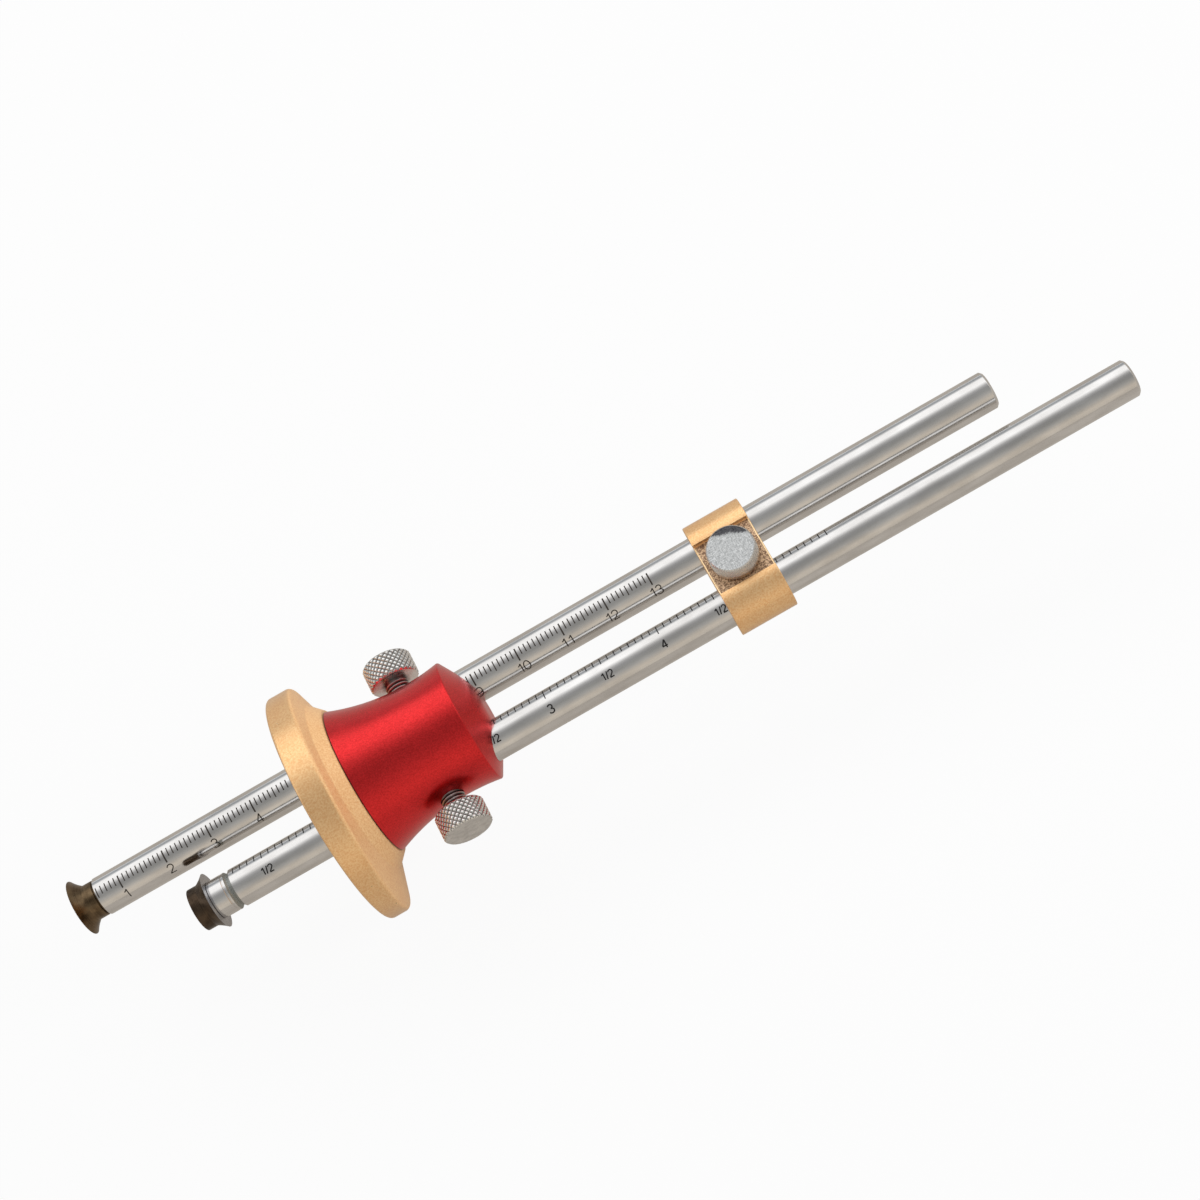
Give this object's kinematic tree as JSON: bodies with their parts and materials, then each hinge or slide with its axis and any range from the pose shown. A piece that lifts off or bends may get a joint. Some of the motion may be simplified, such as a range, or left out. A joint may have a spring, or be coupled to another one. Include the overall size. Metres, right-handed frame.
{
  "type": "wheel marking gauge",
  "caption": "Two-rod wheel marking gauge: round fence on a waisted body, scaled steel rods with wheel cutters, lock screws and a bridge clamp.",
  "frame": {"origin": "centre of the fence's working face, on the line midway between the two rods", "axes": "+X along the rods towards their plain ends, +Y towards the metric rod, +Z to the side of the bridge that carries its thumb screw"},
  "size_m": [0.2319, 0.05, 0.05],
  "materials": {
    "gold_anodised": "bead-blasted satin gold anodising",
    "red_anodised": "bead-blasted satin red anodising",
    "ground_steel": "ground and polished bar with a printed scale",
    "cutter_steel": "hardened and bronzed, turned",
    "dark_screw_steel": "dark oxide screw",
    "knurled_nickel": "nickel plate over diamond knurling",
    "brass_tip": "turned brass"
  },
  "bodies": {
    "head": {"fence_flange": "gold_anodised", "head_body": "red_anodised", "flange_screws": "dark_screw_steel"},
    "metric_rod": {"metric_rod": "ground_steel"},
    "metric_cutter": {"metric_cutter": "cutter_steel"},
    "metric_cutter_screw": {"metric_cutter_screw": "dark_screw_steel"},
    "inch_rod": {"inch_rod": "ground_steel", "inch_spacer": "ground_steel"},
    "inch_cutter": {"inch_cutter": "cutter_steel"},
    "inch_cutter_screw": {"inch_cutter_screw": "dark_screw_steel"},
    "metric_lock_tip": {"metric_lock_tip": "brass_tip"},
    "metric_lock_screw": {"metric_lock_screw": "knurled_nickel"},
    "inch_lock_tip": {"inch_lock_tip": "brass_tip"},
    "inch_lock_screw": {"inch_lock_screw": "knurled_nickel"},
    "bridge": {"bridge_clamp": "gold_anodised"},
    "bridge_screw": {"bridge_screw": "knurled_nickel"}
  },
  "joints": [
    {"name": "metric_rod_slide", "type": "slide", "parent": "head", "child": "metric_rod", "axis": [-1, 0, 0], "range_m": [-0.0503, 0.0776]},
    {"name": "inch_rod_slide", "type": "slide", "parent": "head", "child": "inch_rod", "axis": [-1, 0, 0], "range_m": [-0.027, 0.0996]},
    {"name": "bridge_slide", "type": "slide", "parent": "head", "child": "bridge", "axis": [1, 0, 0], "range_m": [-0.05, 0.05]},
    {"name": "metric_cutter_turn", "type": "hinge", "parent": "metric_rod", "child": "metric_cutter", "pos_m": [-0.0524, 0.0065, 0], "axis": [-1, 0, 0], "continuous": true},
    {"name": "inch_cutter_turn", "type": "hinge", "parent": "inch_rod", "child": "inch_cutter", "pos_m": [-0.0274, -0.0065, 0], "axis": [-1, 0, 0], "continuous": true},
    {"name": "metric_cutter_screw_turn", "type": "hinge", "parent": "metric_rod", "child": "metric_cutter_screw", "pos_m": [-0.0524, 0.0065, 0], "axis": [-1, 0, 0], "range_deg": [0, 360]},
    {"name": "inch_cutter_screw_turn", "type": "hinge", "parent": "inch_rod", "child": "inch_cutter_screw", "pos_m": [-0.0314, -0.0065, 0], "axis": [-1, 0, 0], "range_deg": [0, 360]},
    {"name": "metric_lock_travel", "type": "slide", "parent": "head", "child": "metric_lock_tip", "axis": [0, 1, 0], "range_m": [0, 0.0012]},
    {"name": "metric_lock_turn", "type": "hinge", "parent": "metric_lock_tip", "child": "metric_lock_screw", "pos_m": [0.0232, 0.01095, 0], "axis": [0, 1, 0], "range_deg": [0, 541]},
    {"name": "inch_lock_travel", "type": "slide", "parent": "head", "child": "inch_lock_tip", "axis": [0, -1, 0], "range_m": [0, 0.0012]},
    {"name": "inch_lock_turn", "type": "hinge", "parent": "inch_lock_tip", "child": "inch_lock_screw", "pos_m": [0.0232, -0.01095, 0], "axis": [0, -1, 0], "range_deg": [0, 541]},
    {"name": "bridge_screw_turn", "type": "hinge", "parent": "bridge", "child": "bridge_screw", "pos_m": [0.0943, 0, 0], "axis": [0, 0, 1], "range_deg": [0, 180]}
  ],
  "couplings": [
    {"joint": "metric_lock_turn", "follows": "metric_lock_travel", "rad_per_m": 7854},
    {"joint": "inch_lock_turn", "follows": "inch_lock_travel", "rad_per_m": 7854}
  ]
}
